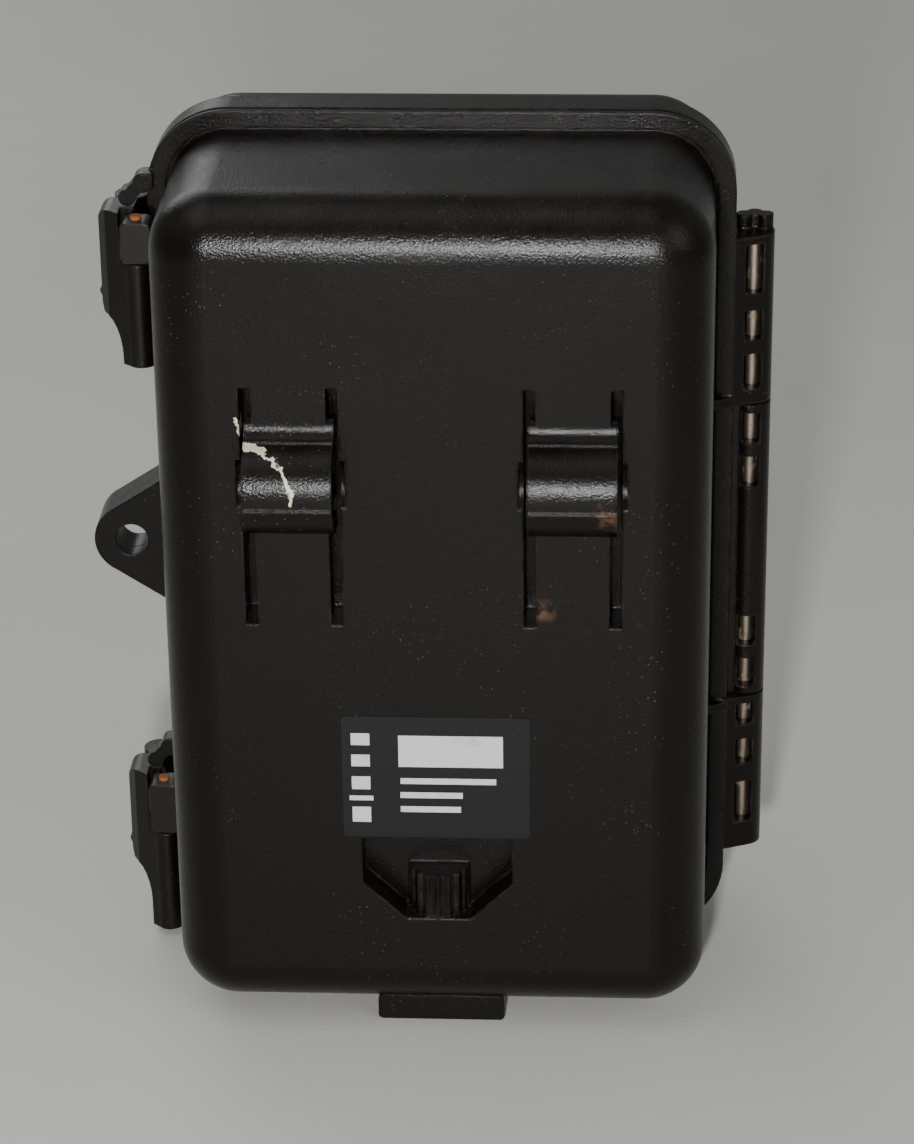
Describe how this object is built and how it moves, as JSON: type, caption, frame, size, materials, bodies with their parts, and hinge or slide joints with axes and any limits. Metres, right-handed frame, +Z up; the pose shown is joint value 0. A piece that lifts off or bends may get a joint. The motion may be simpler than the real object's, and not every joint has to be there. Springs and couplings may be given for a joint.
{
  "type": "trail camera",
  "caption": "Weatherproof trail camera in a hinged, latched case with strap loops, padlock lugs and tripod foot.",
  "frame": {"origin": "mouth of the tripod socket, in the middle of the foot's underside", "axes": "+Z up, +Y towards the back with the strap loops, -Y the way the lens looks, +X towards the latches, -X towards the case hinge"},
  "size_m": [0.1046, 0.0673, 0.139],
  "materials": {
    "case_plastic": "fine moulded grain, warm brown-black",
    "latch_plastic": "smoother moulded plastic, brown-black",
    "link_plastic": "smooth moulded plastic",
    "brass": "turned and threaded",
    "rusty_steel": "steel wire with light rust",
    "bright_steel": "plated steel",
    "label": "printed plastic film",
    "tray_plastic": "moulded plastic",
    "cell_wrap": "wrapped battery can",
    "seal_rubber": "soft matt rubber",
    "dark_window": "deep red-black polished plastic",
    "board": "green lacquered circuit board",
    "lamp_clear": "clear lamp body",
    "bezel": "polished black plastic",
    "clear_glass": "clear window",
    "lens_coated": "coated lens glass",
    "tube": "black lens holder",
    "motion_film": "milky moulded plastic",
    "status_red": "red lamp",
    "panel_plastic": "moulded plastic",
    "screen_frame": "display module frame",
    "screen_glass": "display window",
    "key_plastic": "silicone key",
    "switch_plastic": "moulded plastic",
    "card_plastic": "memory card shell"
  },
  "bodies": {
    "rear_case": {"rear_shell": "case_plastic", "tripod_insert": "brass", "hinge_pin": "rusty_steel", "rating_label": "label", "battery_tray": "tray_plastic", "contact_plates": "bright_steel", "contact_springs": "bright_steel", "tray_screws": "bright_steel", "cell_1": "cell_wrap", "cell_2": "cell_wrap", "cell_3": "cell_wrap", "cell_4": "cell_wrap", "cell_5": "cell_wrap", "cell_6": "cell_wrap", "cell_7": "cell_wrap", "cell_8": "cell_wrap"},
    "front_case": {"front_shell": "case_plastic", "case_seal": "seal_rubber", "glow_window": "dark_window", "lamp_board": "board", "lamps": "lamp_clear", "lens_bezel": "bezel", "lens_window": "clear_glass", "lens_tube": "tube", "lens_glass": "lens_coated", "sensor_board": "board", "motion_lens": "motion_film", "motion_sensor": "bright_steel", "status_light": "status_red", "main_board": "board", "control_panel": "panel_plastic", "panel_screws": "bright_steel", "screen": "screen_frame", "screen_window": "screen_glass", "switch_body": "bright_steel", "card_socket": "bright_steel", "data_port": "bright_steel", "video_jack": "tube", "latch_pin_upper": "rusty_steel", "latch_pin_lower": "rusty_steel"},
    "key_ok": {"key_ok": "key_plastic"},
    "key_up": {"key_up": "key_plastic"},
    "key_down": {"key_down": "key_plastic"},
    "key_left": {"key_left": "key_plastic"},
    "key_right": {"key_right": "key_plastic"},
    "key_menu": {"key_menu": "key_plastic"},
    "power_switch": {"power_switch": "switch_plastic"},
    "memory_card": {"memory_card": "card_plastic"},
    "latch_upper": {"latch_upper": "latch_plastic", "latch_link_upper": "link_plastic", "link_pin_upper": "rusty_steel"},
    "latch_lower": {"latch_lower": "latch_plastic", "latch_link_lower": "link_plastic", "link_pin_lower": "rusty_steel"}
  },
  "joints": [
    {"name": "case_hinge", "type": "hinge", "parent": "rear_case", "child": "front_case", "pos_m": [-0.0469, -0.0185, 0.0695], "axis": [0, 0, -1], "range_deg": [0, 170]},
    {"name": "latch_upper_pivot", "type": "hinge", "parent": "front_case", "child": "latch_upper", "pos_m": [0.0474, -0.0215, 0.1124], "axis": [0, 0, -1], "range_deg": [0, 110]},
    {"name": "latch_lower_pivot", "type": "hinge", "parent": "front_case", "child": "latch_lower", "pos_m": [0.0474, -0.0215, 0.014], "axis": [0, 0, -1], "range_deg": [0, 110]},
    {"name": "key_ok_press", "type": "slide", "parent": "front_case", "child": "key_ok", "axis": [0, -1, 0], "range_m": [0, 0.0005], "stiffness_N_per_m": 600, "springref_m": -0.0005},
    {"name": "key_up_press", "type": "slide", "parent": "front_case", "child": "key_up", "axis": [0, -1, 0], "range_m": [0, 0.0005], "stiffness_N_per_m": 600, "springref_m": -0.0005},
    {"name": "key_down_press", "type": "slide", "parent": "front_case", "child": "key_down", "axis": [0, -1, 0], "range_m": [0, 0.0005], "stiffness_N_per_m": 600, "springref_m": -0.0005},
    {"name": "key_left_press", "type": "slide", "parent": "front_case", "child": "key_left", "axis": [0, -1, 0], "range_m": [0, 0.0005], "stiffness_N_per_m": 600, "springref_m": -0.0005},
    {"name": "key_right_press", "type": "slide", "parent": "front_case", "child": "key_right", "axis": [0, -1, 0], "range_m": [0, 0.0005], "stiffness_N_per_m": 600, "springref_m": -0.0005},
    {"name": "key_menu_press", "type": "slide", "parent": "front_case", "child": "key_menu", "axis": [0, -1, 0], "range_m": [0, 0.0005], "stiffness_N_per_m": 600, "springref_m": -0.0005},
    {"name": "power_slide", "type": "slide", "parent": "front_case", "child": "power_switch", "axis": [0, 0, 1], "range_m": [0, 0.006]},
    {"name": "card_slide", "type": "slide", "parent": "front_case", "child": "memory_card", "axis": [0, 0, 1], "range_m": [0, 0.004]}
  ]
}
